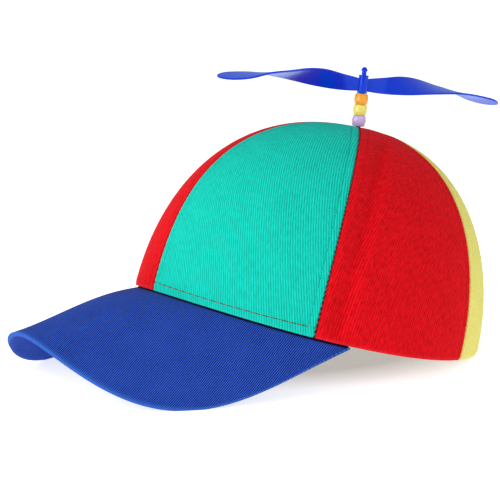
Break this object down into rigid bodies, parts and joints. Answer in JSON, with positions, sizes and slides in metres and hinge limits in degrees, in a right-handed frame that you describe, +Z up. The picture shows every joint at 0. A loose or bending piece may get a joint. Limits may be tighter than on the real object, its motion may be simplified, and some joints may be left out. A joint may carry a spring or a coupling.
{
  "type": "propeller cap",
  "caption": "Cotton cap with a crown sewn from coloured gores, a curved peak, and a plastic propeller that spins on a beaded pin at the top.",
  "frame": {"origin": "on the surface that the cap rests on, under the middle of its bounding box", "axes": "+Z up, the wearer faces -Y with the peak, the wearer's left is +X"},
  "size_m": [0.1736, 0.2941, 0.157],
  "materials": {
    "twill_green": "woven cotton twill",
    "twill_red": "woven cotton twill",
    "twill_yellow": "woven cotton twill",
    "twill_blue": "woven cotton twill over a stiff board",
    "plastic_blue": "moulded",
    "bead_lilac": "moulded, pearly",
    "bead_yellow": "moulded",
    "bead_orange": "moulded"
  },
  "bodies": {
    "cap": {"crown_panel_front_left": "twill_green", "crown_panel_front_right": "twill_red", "crown_panel_side_left": "twill_red", "crown_panel_side_right": "twill_yellow", "crown_panel_back_left": "twill_yellow", "crown_panel_back_right": "twill_green", "peak": "twill_blue", "pin": "plastic_blue", "bead_lilac": "bead_lilac", "bead_yellow": "bead_yellow", "bead_orange": "bead_orange"},
    "propeller": {"propeller": "plastic_blue"}
  },
  "joints": [
    {"name": "propeller_spin", "type": "hinge", "parent": "cap", "child": "propeller", "pos_m": [0, 0.06212, 0.14641], "axis": [0, 0.1253, 0.9921], "continuous": true}
  ]
}
